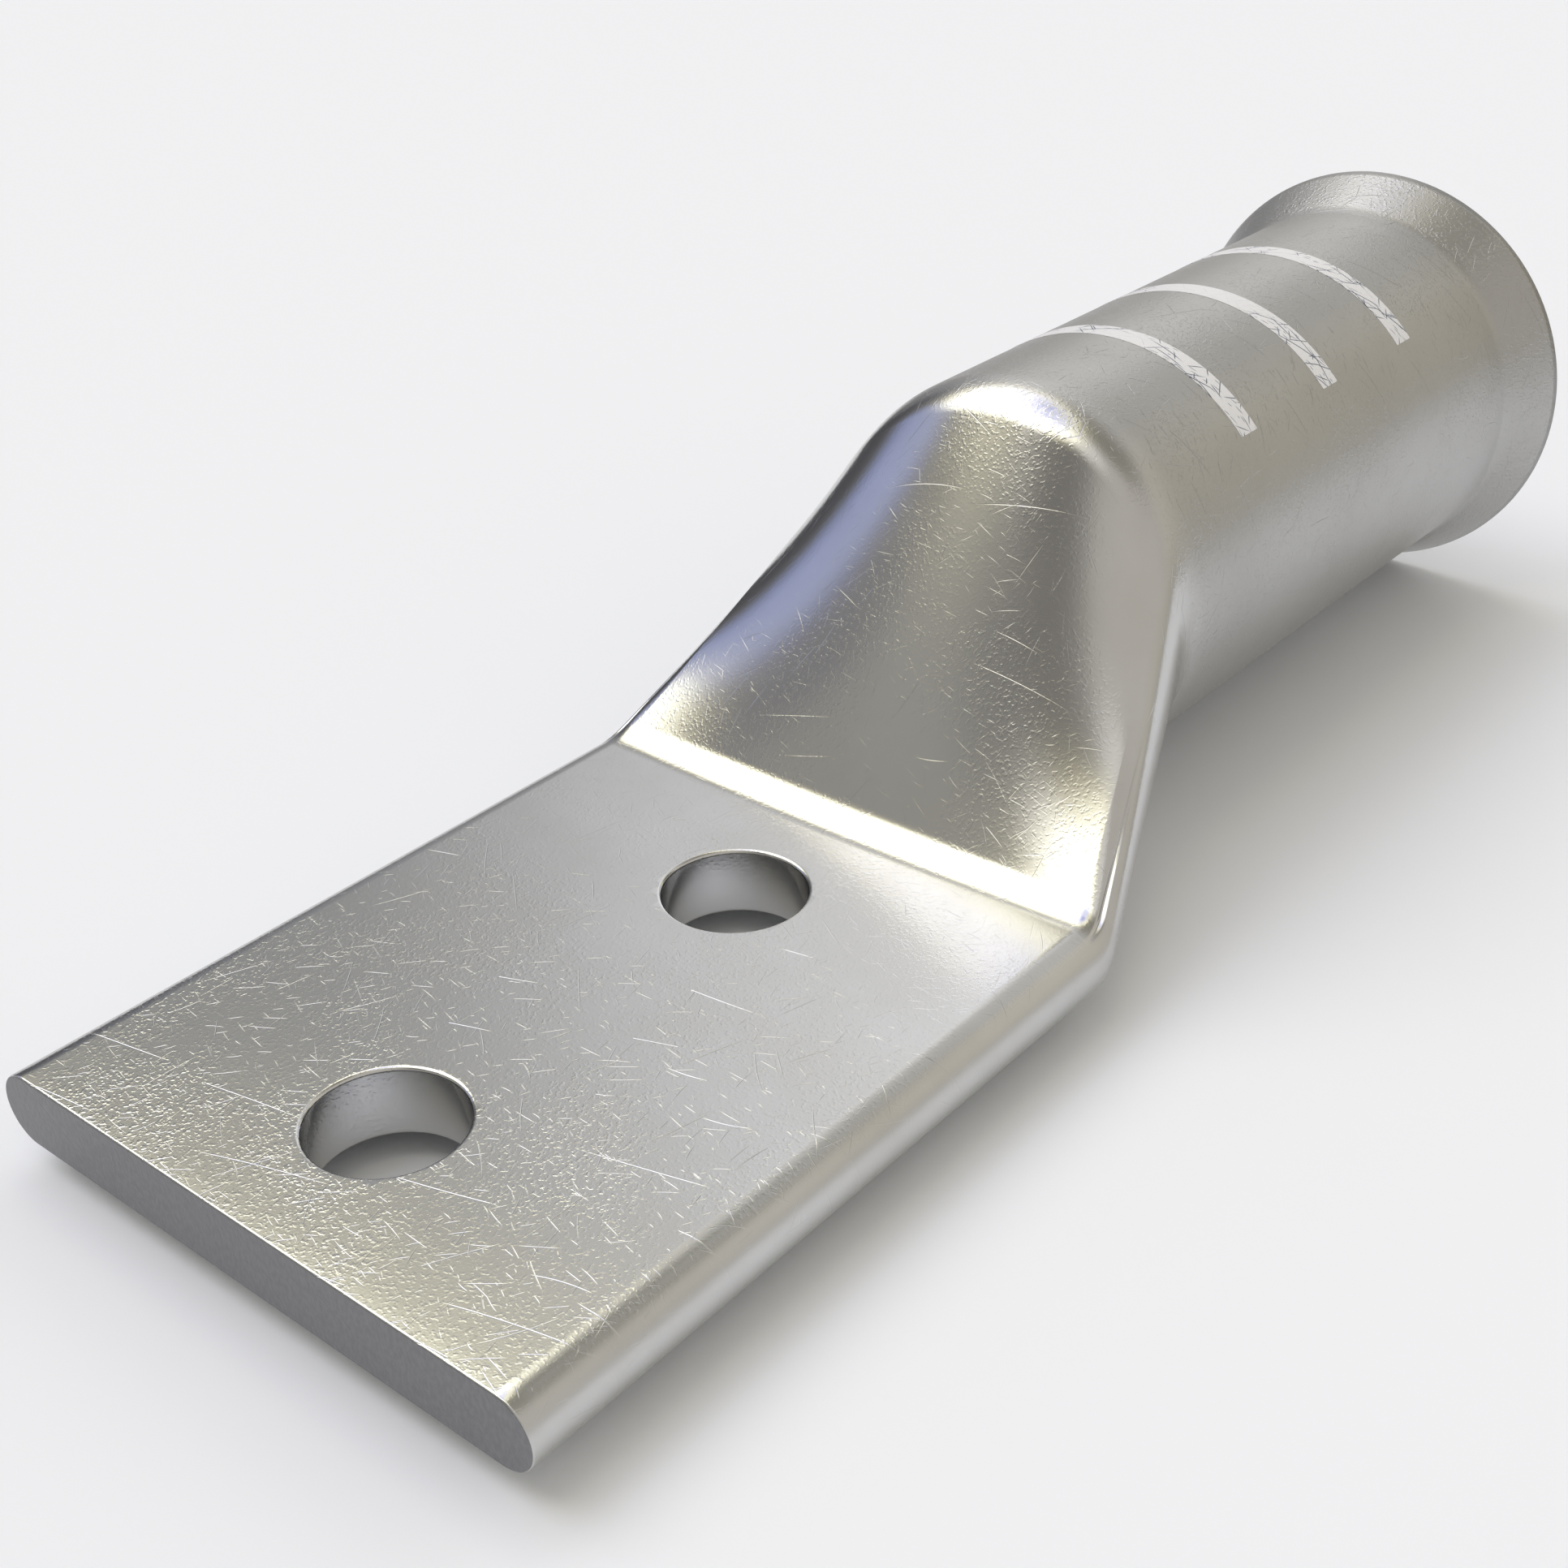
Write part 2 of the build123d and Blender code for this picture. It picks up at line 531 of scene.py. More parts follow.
@dataclass
class BoltHoles:
    """The two punched holes, cut by spun plugs whose ends flare to round the rims."""

    sizes: LugSizes
    steps: int = 96
    rim_steps: int = 6
    stand_out: float = 1.5

    def plug(self) -> bmesh.types.BMesh:
        """Spins the two plugs.

        Returns:
            The plugs, in millimetres.
        """
        s = self.sizes
        plugs = bmesh.new()
        for sign in (-1, 1):
            centre = Vector((sign * s.hole_spacing / 2, 0, 0))
            profile = [(0, -self.stand_out), (s.hole_radius + s.hole_rim_radius, -self.stand_out)]
            for end in (0, 1):
                steps = range(self.rim_steps + 1)
                for step in steps if end == 0 else reversed(steps):
                    angle = pi / 2 * step / self.rim_steps
                    out = s.hole_radius + s.hole_rim_radius * (1 - sin(angle))
                    height = s.hole_rim_radius * (1 - cos(angle))
                    profile.append((out, height if end == 0 else s.thickness - height))
            profile.append((s.hole_radius + s.hole_rim_radius, s.thickness + self.stand_out))
            profile.append((0, s.thickness + self.stand_out))
            verts = [plugs.verts.new(centre + Vector((out, 0, height))) for out, height in profile]
            edges = [plugs.edges.new(pair) for pair in zip(verts, verts[1:])]
            bmesh.ops.spin(
                plugs,
                geom=verts + edges,
                cent=centre,
                axis=(0, 0, 1),
                angle=2 * pi,
                steps=self.steps,
                use_merge=True,
            )
        bmesh.ops.remove_doubles(plugs, verts=plugs.verts, dist=MERGE_DISTANCE)
        bmesh.ops.recalc_face_normals(plugs, faces=plugs.faces)
        return plugs


def finished_object(shape: bmesh.types.BMesh, name: str) -> bpy.types.Object:
    """Turns a bmesh in millimetres into a scene object in metres.

    Args:
        shape: The mesh, which is freed.
        name: The object's name.

    Returns:
        The object, at the origin.
    """
    bmesh.ops.scale(shape, vec=(METRES,) * 3, verts=shape.verts)
    mesh = bpy.data.meshes.new(name)
    shape.to_mesh(mesh)
    shape.free()
    thing = bpy.data.objects.new(name, mesh)
    bpy.context.scene.collection.objects.link(thing)
    return thing


def apply_modifiers(thing: bpy.types.Object) -> None:
    """Makes an object's modifiers part of its mesh.

    Args:
        thing: The object.
    """
    graph = bpy.context.evaluated_depsgraph_get()
    mesh = bpy.data.meshes.new_from_object(thing.evaluated_get(graph))
    thing.modifiers.clear()
    thing.data = mesh


class NodeSheet:
    """A short way to place and join shader nodes."""

    def __init__(self, tree: bpy.types.NodeTree) -> None:
        """Keeps the tree to build in."""
        self.tree = tree

    def add(self, kind: str, inputs: dict | None = None, **settings: object) -> bpy.types.Node:
        """Places a node.

        Args:
            kind: The node's type, without its ShaderNode prefix.
            inputs: Values or sockets for its inputs, by name or number.
            settings: Its other properties.

        Returns:
            The node.
        """
        node = self.tree.nodes.new("ShaderNode" + kind)
        for name, value in settings.items():
            setattr(node, name, value)
        for name, value in (inputs or {}).items():
            self.fill(node.inputs[name], value)
        return node

    def fill(self, socket: Socket, value: object) -> None:
        """Links a socket to another, or sets its value.

        Args:
            socket: The input socket.
            value: A value or an output socket.
        """
        if isinstance(value, Socket):
            self.tree.links.new(value, socket)
        else:
            socket.default_value = value

    def vector(self, operation: str, first: object, second: object = None, **named: object) -> Socket:
        """Places a Vector Math node, with named inputs too, and gives its vector output."""
        inputs = {0: first} if second is None else {0: first, 1: second}
        return self.add("VectorMath", inputs | named, operation=operation).outputs[0]

    def mix(self, factor: object, first: object, second: object) -> Socket:
        """Places a colour Mix node.

        Args:
            factor: The share of the second colour.
            first: The first colour, as a socket or three numbers.
            second: The second colour.

        Returns:
            The mixed colour.
        """
        node = self.add("Mix", {0: factor}, data_type="RGBA")
        for index, colour in ((6, first), (7, second)):
            self.fill(node.inputs[index], (*colour, 1.0) if isinstance(colour, tuple) else colour)
        return node.outputs[2]

    def math(self, operation: str, first: object, second: object = 0.0, clamp: bool = False) -> Socket:
        """Places a Math node and gives its output, which clamp keeps between 0 and 1."""
        return self.add("Math", {0: first, 1: second}, operation=operation, use_clamp=clamp).outputs[0]

    def step(self, value: object, start: float, end: float, low: float = 0.0, high: float = 1.0) -> Socket:
        """Places a smooth step from low to high between two values and gives its output."""
        inputs = {"Value": value, "From Min": start, "From Max": end, "To Min": low, "To Max": high}
        return self.add("MapRange", inputs, interpolation_type="SMOOTHSTEP").outputs[0]

    def fade(self, value: Socket, origin: float, span: Span, *ends: float) -> Socket:
        """Places a smooth step over a span of millimetres, counted from an origin."""
        return self.step(value, (origin + span[0]) * METRES, (origin + span[1]) * METRES, *ends)


class SurfaceEffects:
    """Shader node groups that the finishes share."""

    SCRATCH_REACH = (0.14, 0.44)
    SCRATCH_BOW = 0.1
    FLECK_RANGE = (0.5, 0.72)
    GRAIN_FINENESS = 1.7

    def __init__(self) -> None:
        """Builds the groups once."""
        self.strokes = self.make_strokes()
        self.peel = self.make_peel()

    @staticmethod
    def start_group(name: str, inputs: dict[str, float | None], output: str) -> tuple:
        """Starts a node group with one output.

        Args:
            name: The group's name.
            inputs: Each input's default, or None for a vector.
            output: The output's name.

        Returns:
            The group, a sheet to build in, its input node and its output node.
        """
        group = bpy.data.node_groups.new(name, "ShaderNodeTree")
        for label, default in inputs.items():
            kind = "NodeSocketVector" if default is None else "NodeSocketFloat"
            socket = group.interface.new_socket(label, in_out="INPUT", socket_type=kind)
            if default is not None:
                socket.default_value = default
        group.interface.new_socket(output, in_out="OUTPUT", socket_type="NodeSocketFloat")
        entry = group.nodes.new("NodeGroupInput")
        leave = group.nodes.new("NodeGroupOutput")
        return group, NodeSheet(group), entry, leave

    def make_strokes(self) -> bpy.types.NodeTree:
        """Scattered scratches, one to a long cell, each with its own length, slant and bend.

        Returns:
            The group. Its Depth is 1 along the middle of a scratch and fades at the sides and ends.
        """
        inputs = {"Vector": None, "Angle": 0.0, "Length": 0.006, "Spacing": 0.003}
        inputs |= {"Width": 0.0001, "Share": 0.5, "Seed": 0.0}
        group, sheet, entry, leave = self.start_group("scratch_strokes", inputs, "Depth")
        given = entry.outputs
        turned = sheet.add(
            "VectorRotate", {"Vector": given["Vector"], "Angle": given["Angle"]}, rotation_type="Z_AXIS"
        )
        across_cells = sheet.math("DIVIDE", 1.0, given["Spacing"])
        along_cells = sheet.math("DIVIDE", 1.0, given["Length"])
        cell = sheet.add("CombineXYZ", {0: along_cells, 1: across_cells}).outputs[0]
        shift = sheet.add("CombineXYZ", {0: given["Seed"], 1: given["Seed"]}).outputs[0]
        moved = sheet.vector("ADD", sheet.vector("MULTIPLY", turned.outputs[0], cell), shift)
        cells = sheet.add(
            "TexVoronoi",
            {"Vector": moved, "Scale": 1.0, "Randomness": 1.0},
            feature="F1",
            voronoi_dimensions="2D",
        )
        chance = sheet.add("SeparateColor", {0: cells.outputs["Color"]}).outputs
        offset = sheet.vector("SUBTRACT", moved, cells.outputs["Position"])
        axes = sheet.add("SeparateXYZ", {0: offset}).outputs
        reach = sheet.step(chance[2], 0.0, 1.0, *self.SCRATCH_REACH)
        run = sheet.math("DIVIDE", axes[0], reach)
        squared = sheet.math("MULTIPLY", run, run)
        ends = sheet.math("SUBTRACT", 1.0, squared, clamp=True)
        slant = sheet.math("MULTIPLY", sheet.math("SUBTRACT", chance[0], 0.5), axes[0])
        lean = sheet.math("SUBTRACT", chance[1], 0.5)
        bow = sheet.math("MULTIPLY", lean, sheet.math("MULTIPLY", squared, self.SCRATCH_BOW))
        off = sheet.math("ABSOLUTE", sheet.math("SUBTRACT", sheet.math("SUBTRACT", axes[1], slant), bow))
        half = sheet.math("MULTIPLY", sheet.math("MULTIPLY", given["Width"], across_cells), 0.5)
        across = sheet.step(sheet.math("DIVIDE", off, half), 0.0, 1.0, 1.0, 0.0)
        pick = sheet.add("TexWhiteNoise", {"Vector": cells.outputs["Position"]}).outputs["Value"]
        kept = sheet.math("LESS_THAN", pick, given["Share"])
        depth = sheet.math("MULTIPLY", sheet.math("MULTIPLY", ends, across), kept)
        group.links.new(depth, leave.inputs["Depth"])
        return group

    def make_peel(self) -> bpy.types.NodeTree:
        """The fine skin of plated metal: separate small flecks that stand on a faint grain.

        Returns:
            The group. Its Height is 1 on top of a fleck and near 0 between them.
        """
        inputs = {"Vector": None, "Size": 0.0005, "Grain": 0.2}
        group, sheet, entry, leave = self.start_group("plating_peel", inputs, "Height")
        place = entry.outputs["Vector"]
        frequency = sheet.math("DIVIDE", 1.0, entry.outputs["Size"])
        finer = sheet.math("MULTIPLY", frequency, self.GRAIN_FINENESS)
        bumps = sheet.add("TexNoise", {"Vector": place, "Scale": frequency, "Detail": 1.0}).outputs[0]
        fine = sheet.add("TexNoise", {"Vector": place, "Scale": finer, "Detail": 0.0}).outputs[0]
        grain = sheet.math("MULTIPLY", fine, entry.outputs["Grain"])
        height = sheet.math("ADD", sheet.step(bumps, *self.FLECK_RANGE), grain)
        group.links.new(height, leave.inputs["Height"])
        return group

    @staticmethod
    def place(sheet: NodeSheet, group: bpy.types.NodeTree, **inputs: object) -> Socket:
        """Places a group in a material.

        Args:
            sheet: The material's sheet.
            group: The group.
            inputs: Its values or sockets, by name.

        Returns:
            Its first output.
        """
        node = sheet.tree.nodes.new("ShaderNodeGroup")
        node.node_tree = group
        for name, value in inputs.items():
            sheet.fill(node.inputs[name], value)
        return node.outputs[0]


@dataclass(frozen=True)
class Strokes:
    """One layer of scratches: its angle in degrees, its cells and line width in metres, and its shares."""

    angle: float
    length: float
    spacing: float
    width: float
    share: float
    weight: float
    seed: float

    def place(self, sheet: NodeSheet, effects: SurfaceEffects, vector: Socket) -> Socket:
        """Places the layer on flat coordinates in metres, and gives its scratches' depth."""
        depth = effects.place(
            sheet,
            effects.strokes,
            Vector=vector,
            Angle=radians(self.angle),
            Length=self.length,
            Spacing=self.spacing,
            Width=self.width,
            Share=self.share,
            Seed=self.seed,
        )
        return sheet.math("MULTIPLY", depth, self.weight)


def layered(
    sheet: NodeSheet, effects: SurfaceEffects, layers: tuple[Strokes, ...], vector: Socket
) -> Socket:
    """Lays several layers of scratches over each other.

    Each layer waits for the one before it, through a third coordinate that the flat scratches ignore: the
    renderer has little room for the working values of layers that it works out side by side.

    Args:
        sheet: The material's sheet.
        effects: The shared effects.
        layers: The layers.
        vector: Flat coordinates in metres.

    Returns:
        The deepest scratch at each point.
    """
    deepest = layers[0].place(sheet, effects, vector)
    for layer in layers[1:]:
        wait = sheet.add("CombineXYZ", {2: deepest}).outputs[0]
        depth = layer.place(sheet, effects, sheet.vector("ADD", vector, wait))
        deepest = sheet.math("MAXIMUM", deepest, depth)
    return deepest


def blank_material(name: str) -> tuple[bpy.types.Material, NodeSheet]:
    """Makes a material with an empty node tree.

    Args:
        name: The material's name.

    Returns:
        The material and a sheet to build in.
    """
    material = bpy.data.materials.new(name)
    material.use_nodes = True
    material.node_tree.nodes.clear()
    return material, NodeSheet(material.node_tree)


@dataclass(frozen=True)
class Zones:
    """Where a point of the plating lies, as sockets of its material.

    The last three run from 0 to 1: the barrel, the sheared end face, and soft patches of duller plating.
    """

    place: Socket
    along: Socket
    aside: Socket
    barrel: Socket
    end_face: Socket
    clouds: Socket


@dataclass(frozen=True)
class TinPlate:
    """Satin tin plating: flecked and scratched on the tongue, duller and painted darker as shade on the
    barrel, and painted dark grey as shade where sheared.

    Spans are in millimetres from the place they tell of. The shares of relief multiply each other.
    """

    sizes: LugSizes
    tongue: Colour = (0.61, 0.61, 0.605)
    tongue_dull: Colour = (0.575, 0.572, 0.56)
    # Painted shade: the barrel's two colours are darker copies of the tongue's, standing in for darker
    # reflections on the barrel; the patches between them are real tone.
    barrel: Colour = (0.465, 0.463, 0.455)
    barrel_dull_painted_shade: Colour = (0.445, 0.44, 0.43)
    barrel_span: Span = (-4.0, 6.0)
    # Painted shade: the sheared end face is coloured dark grey, standing in for the dark reflection on that
    # face; the streaks between its two greys are real grain.
    sheared: Colour = (0.215, 0.215, 0.22)
    sheared_streak_painted_shade: Colour = (0.245, 0.245, 0.25)
    sheared_depth: float = 0.06
    streak_stretch: tuple[float, float, float] = (1.0, 1.0, 0.5)
    streak_scale: float = 2600.0
    streak_range: Span = (0.3, 0.7)
    cloud_scale: float = 60.0
    cloud_range: Span = (0.35, 0.7)
    cloud_roughness: float = 0.03
    tongue_roughness: float = 0.15
    barrel_roughness: float = 0.36
    sheared_roughness: float = 0.42
    rubbed_roughness: float = 0.2
    peel_size: float = 0.0004
    peel_grain: float = 0.4
    relief: float = 0.00002
    tongue_relief: Span = (0.55, 0.22)
    tongue_relief_span: Span = (2.0, 60.0)
    barrel_relief: float = 4.5
    barrel_relief_span: Span = (-4.0, 5.0)
    bell_relief: float = 1.8
    bell_relief_span: Span = (-1.0, 2.0)
    edge_relief: float = 0.3
    patch_relief: Span = (0.4, 1.25)
    patch_scale: float = 90.0
    patch_range: Span = (0.35, 0.65)
    slope_scratches: float = 0.4
    slope_scratch_span: Span = (30.0, 83.93)
    barrel_scratches: float = 1.8
    strokes: tuple[Strokes, ...] = (
        Strokes(12, 0.016, 0.0055, 0.00014, 0.4, 0.85, 0.0),
        Strokes(75, 0.009, 0.0045, 0.00013, 0.4, 0.6, 11.3),
        Strokes(140, 0.008, 0.004, 0.00013, 0.35, 0.6, 27.9),
        Strokes(40, 0.0045, 0.0022, 0.00012, 0.35, 0.45, 41.2),
        Strokes(105, 0.004, 0.002, 0.00012, 0.35, 0.45, 63.7),
        Strokes(168, 0.0036, 0.0018, 0.00012, 0.35, 0.45, 85.1),
        Strokes(62, 0.0018, 0.0011, 0.00012, 0.25, 0.4, 97.6),
        Strokes(-20, 0.0016, 0.001, 0.00012, 0.25, 0.4, 113.4),
    )

    def zones(self, sheet: NodeSheet) -> Zones:
        """Finds where each point of the plating lies.

        Args:
            sheet: The material's sheet.

        Returns:
            The zones.
        """
        s = self.sizes
        place = sheet.add("TexCoord").outputs["Object"]
        axes = sheet.add("SeparateXYZ", {0: place}).outputs
        cloud_inputs = {"Vector": place, "Scale": self.cloud_scale, "Detail": 4.0, "Roughness": 0.6}
        clouds = sheet.add("TexNoise", cloud_inputs).outputs[0]
        return Zones(
            place=place,
            along=axes["X"],
            aside=sheet.math("ABSOLUTE", axes["Y"]),
            barrel=sheet.fade(axes["X"], s.shoulder_x, self.barrel_span),
            end_face=sheet.math("LESS_THAN", axes["X"], (s.free_end_x + self.sheared_depth) * METRES),
            clouds=sheet.step(clouds, *self.cloud_range),
        )

    def tone(self, sheet: NodeSheet, zones: Zones) -> Socket:
        """Mixes the skin's colour, with painted shade that darkens the barrel and the sheared end face.

        Args:
            sheet: The material's sheet.
            zones: Where the point lies.

        Returns:
            The colour.
        """
        tongue_tone = sheet.mix(zones.clouds, self.tongue, self.tongue_dull)
        # The barrel's darker colours are painted shade.
        barrel_painted_shade_tone = sheet.mix(zones.clouds, self.barrel, self.barrel_dull_painted_shade)
        stretched = sheet.vector("MULTIPLY", zones.place, self.streak_stretch)
        streak_inputs = {"Vector": stretched, "Scale": self.streak_scale, "Detail": 2.0}
        streaks = sheet.step(sheet.add("TexNoise", streak_inputs).outputs[0], *self.streak_range)
        # The end face's dark greys are painted shade.
        sheared_painted_shade_tone = sheet.mix(streaks, self.sheared, self.sheared_streak_painted_shade)
        return sheet.mix(zones.end_face, sheet.mix(zones.barrel, tongue_tone, barrel_painted_shade_tone), sheared_painted_shade_tone)

    def roughness(self, sheet: NodeSheet, zones: Zones) -> Socket:
        """Works out the roughness. The long edges are rubbed duller than the tongue.

        Args:
            sheet: The material's sheet.
            zones: Where the point lies.

        Returns:
            The roughness.
        """
        s = self.sizes
        plated = sheet.step(zones.barrel, 0.0, 1.0, self.tongue_roughness, self.barrel_roughness)
        plated = sheet.math("ADD", plated, sheet.math("MULTIPLY", zones.clouds, self.cloud_roughness))
        rubbed = sheet.fade(zones.aside, s.tongue_half_width, (-s.wall, 0.0), 0.0, self.rubbed_roughness)
        plated = sheet.math("ADD", plated, rubbed)
        sheared = sheet.math("MULTIPLY", zones.end_face, self.sheared_roughness)
        return sheet.math("MAXIMUM", plated, sheared)

    def relief_share(self, sheet: NodeSheet, zones: Zones) -> Socket:
        """Works out how high the flecks stand.

        They are lower on the slope and along the tongue's edges, and raised on the barrel and the bell,
        where the duller finish would hide them.

        Args:
            sheet: The material's sheet.
            zones: Where the point lies.

        Returns:
            The share of the full relief.
        """
        s = self.sizes
        tongue = sheet.fade(zones.along, s.free_end_x, self.tongue_relief_span, *self.tongue_relief)
        barrel = sheet.fade(zones.along, s.shoulder_x, self.barrel_relief_span, 1.0, self.barrel_relief)
        bell = sheet.fade(zones.along, s.bell_x, self.bell_relief_span, 1.0, self.bell_relief)
        edge = sheet.fade(zones.aside, s.tongue_half_width, (-s.wall, 0.0), 1.0, self.edge_relief)
        patch_inputs = {"Vector": zones.place, "Scale": self.patch_scale, "Detail": 1.0}
        patches = sheet.add("TexNoise", patch_inputs).outputs[0]
        patchy = sheet.step(patches, *self.patch_range, *self.patch_relief)
        lengthwise = sheet.math("MULTIPLY", tongue, sheet.math("MULTIPLY", barrel, bell))
        return sheet.math("MULTIPLY", lengthwise, sheet.math("MULTIPLY", edge, patchy))

    def make(self, effects: SurfaceEffects) -> bpy.types.Material:
        """Builds the material.

        Args:
            effects: The shared effects.

        Returns:
            The material.
        """
        material, sheet = blank_material("tin_plate")
        zones = self.zones(sheet)
        scratches = layered(sheet, effects, self.strokes, sheet.add("TexCoord").outputs["UV"])
        peel_inputs = {"Vector": zones.place, "Size": self.peel_size, "Grain": self.peel_grain}
        peel = effects.place(sheet, effects.peel, **peel_inputs)
        flecks = sheet.math("MULTIPLY", peel, self.relief_share(sheet, zones))
        span = self.slope_scratch_span
        faint = sheet.fade(zones.along, self.sizes.free_end_x, span, 1.0, self.slope_scratches)
        faint = sheet.math("ADD", faint, sheet.math("MULTIPLY", zones.barrel, self.barrel_scratches))
        height = sheet.math("SUBTRACT", flecks, sheet.math("MULTIPLY", scratches, faint))
        bump = sheet.add("Bump", {"Height": height, "Strength": 1.0, "Distance": self.relief})
        finish_inputs = {"Base Color": self.tone(sheet, zones), "Metallic": 1.0}
        finish_inputs |= {"Roughness": self.roughness(sheet, zones), "Normal": bump.outputs[0]}
        shader = sheet.add("BsdfPrincipled", finish_inputs)
        sheet.add("OutputMaterial", {"Surface": shader.outputs[0]})
        return material


@dataclass(frozen=True)
class WhiteInk:
    """White printing ink, scored by fine dark scratches that crowd towards the ends of each band.

    The sound wear is the share of the scratches that shows where the ink is sound.
    """

    sizes: LugSizes
    half_angle: float
    ink: Colour = (0.83, 0.83, 0.84)
    score: Colour = (0.08, 0.1, 0.16)
    roughness: float = 0.42
    peel_size: float = 0.0006
    relief: float = 0.00001
    patch_scale: float = 150.0
    worn_range: Span = (0.48, 0.66)
    sound_wear: float = 0.08
    end_crowding: float = 0.22
    strokes: tuple[Strokes, ...] = (
        Strokes(64, 0.011, 0.0013, 0.00022, 0.8, 1.8, 5.1),
        Strokes(100, 0.008, 0.0011, 0.0002, 0.75, 1.6, 17.6),
        Strokes(32, 0.005, 0.0012, 0.00019, 0.7, 1.6, 33.4),
        Strokes(140, 0.004, 0.0011, 0.00018, 0.65, 1.6, 52.9),
        Strokes(80, 0.0016, 0.0006, 0.00014, 0.6, 1.4, 71.8),
    )

    def make(self, effects: SurfaceEffects) -> bpy.types.Material:
        """Builds the material.

        Args:
            effects: The shared effects.

        Returns:
            The material.
        """
        material, sheet = blank_material("white_ink")
        place = sheet.add("TexCoord").outputs["Object"]
        axes = sheet.add("SeparateXYZ", {0: place}).outputs
        height = sheet.math("SUBTRACT", axes["Z"], self.sizes.axis_height * METRES)
        angle = sheet.math("ARCTAN2", axes["Y"], height)
        arc = sheet.math("MULTIPLY", angle, self.sizes.barrel_radius * METRES)
        flat = sheet.add("CombineXYZ", {0: axes["X"], 1: arc}).outputs[0]
        patch_inputs = {"Vector": place, "Scale": self.patch_scale, "Detail": 2.0}
        patches = sheet.add("TexNoise", patch_inputs).outputs[0]
        aside = sheet.math("ABSOLUTE", angle)
        towards_end = sheet.step(aside, 0.0, radians(self.half_angle), 0.0, self.end_crowding)
        patches = sheet.math("ADD", patches, towards_end)
        worn = sheet.step(patches, *self.worn_range, self.sound_wear, 1.0)
        scratches = layered(sheet, effects, self.strokes, flat)
        scored = sheet.math("MULTIPLY", scratches, worn, clamp=True)
        colour = sheet.mix(scored, self.ink, self.score)
        peel = effects.place(sheet, effects.peel, Vector=place, Size=self.peel_size, Grain=1.0)
        bump = sheet.add("Bump", {"Height": sheet.math("SUBTRACT", peel, scored), "Distance": self.relief})
        shader = sheet.add(
            "BsdfPrincipled",
            {"Base Color": colour, "Roughness": self.roughness, "Normal": bump.outputs[0]},
        )
        sheet.add("OutputMaterial", {"Surface": shader.outputs[0]})
        return material


@dataclass
class CrimpBands:
    """The printed bands on top of the barrel that mark where the crimping dies go."""

    sizes: LugSizes
    first_x: float = 85.73
    pitch: float = 17.83
    width: float = 3.17
    count: int = 3
    half_angle: float = 49.0
    ink_height: float = 0.03
    ink_root: float = 0.05
    steps: int = 96

    def build(self, effects: SurfaceEffects) -> bpy.types.Object:
        """Makes the bands as thin curved strips.

        Args:
            effects: The shared shader effects.

        Returns:
            The bands, as one piece.
        """
        s = self.sizes
        strips = bmesh.new()
        axis_point = Vector((0, 0, s.axis_height))
        for index in range(self.count):
            start = self.first_x + index * self.pitch
            low = s.barrel_radius - self.ink_root
            high = s.barrel_radius + self.ink_height
            corners = [(start, low), (start + self.width, low), (start + self.width, high), (start, high)]
            section = [strips.verts.new((x, 0, s.axis_height + radius)) for x, radius in corners]
            face = strips.faces.new(section)
            bmesh.ops.rotate(
                strips,
                verts=section,
                cent=axis_point,
                matrix=Matrix.Rotation(radians(-self.half_angle), 3, "X"),
            )
            bmesh.ops.spin(
                strips,
                geom=[face, *face.edges, *section],
                cent=axis_point,
                axis=(1, 0, 0),
                angle=2 * radians(self.half_angle),
                steps=self.steps,
            )
        bmesh.ops.remove_doubles(strips, verts=strips.verts, dist=MERGE_DISTANCE)
        bmesh.ops.recalc_face_normals(strips, faces=strips.faces)
        bands = finished_object(strips, "crimp_bands")
        bands.data.materials.append(WhiteInk(s, self.half_angle).make(effects))
        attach(bands, "root")
        LOG.info("crimp_bands: %d vertices, %d faces", len(bands.data.vertices), len(bands.data.polygons))
        return bands


@dataclass
class CompressionLug:
    """The lug: one piece, dressed with one finish."""

    sizes: LugSizes
    flat_weight: int = 90

    def build(self, effects: SurfaceEffects) -> bpy.types.Object:
        """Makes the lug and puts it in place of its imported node.

        Args:
            effects: The shared shader effects.

        Returns:
            The lug.
        """
        lug = finished_object(TubeSkin(self.sizes).build(), "lug_body")
        plugs = finished_object(BoltHoles(self.sizes).plug(), "hole_plugs")
        cut = lug.modifiers.new("bolt_holes", "BOOLEAN")
        cut.operation = "DIFFERENCE"
        cut.solver = "EXACT"
        cut.object = plugs
        apply_modifiers(lug)
        bpy.data.objects.remove(plugs)
        lug.data.shade_smooth()
        weighted = lug.modifiers.new("flat_faces_lead", "WEIGHTED_NORMAL")
        weighted.weight = self.flat_weight
        apply_modifiers(lug)
        lug.data.materials.clear()
        lug.data.materials.append(TinPlate(self.sizes).make(effects))
        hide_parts(NODE_NAME)
        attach(lug, "root")
        LOG.info("lug_body: %d vertices, %d faces", len(lug.data.vertices), len(lug.data.polygons))
        return lug


@dataclass(frozen=True)
class Glow:
    """A soft patch of light in the studio's surroundings, or of shade where its colour is negative.

    Its direction is its azimuth from +X towards +Y and its elevation. It is full up to the inner angle from
    that direction and gone from the outer angle on. All four are in degrees.
    """

    azimuth: float
    elevation: float
    inner: float
    outer: float
    colour: Colour

    def direction(self) -> tuple[float, float, float]:
        """The patch's direction as a unit vector."""
        turn, lift = radians(self.azimuth), radians(self.elevation)
        return cos(turn) * cos(lift), sin(turn) * cos(lift), sin(lift)


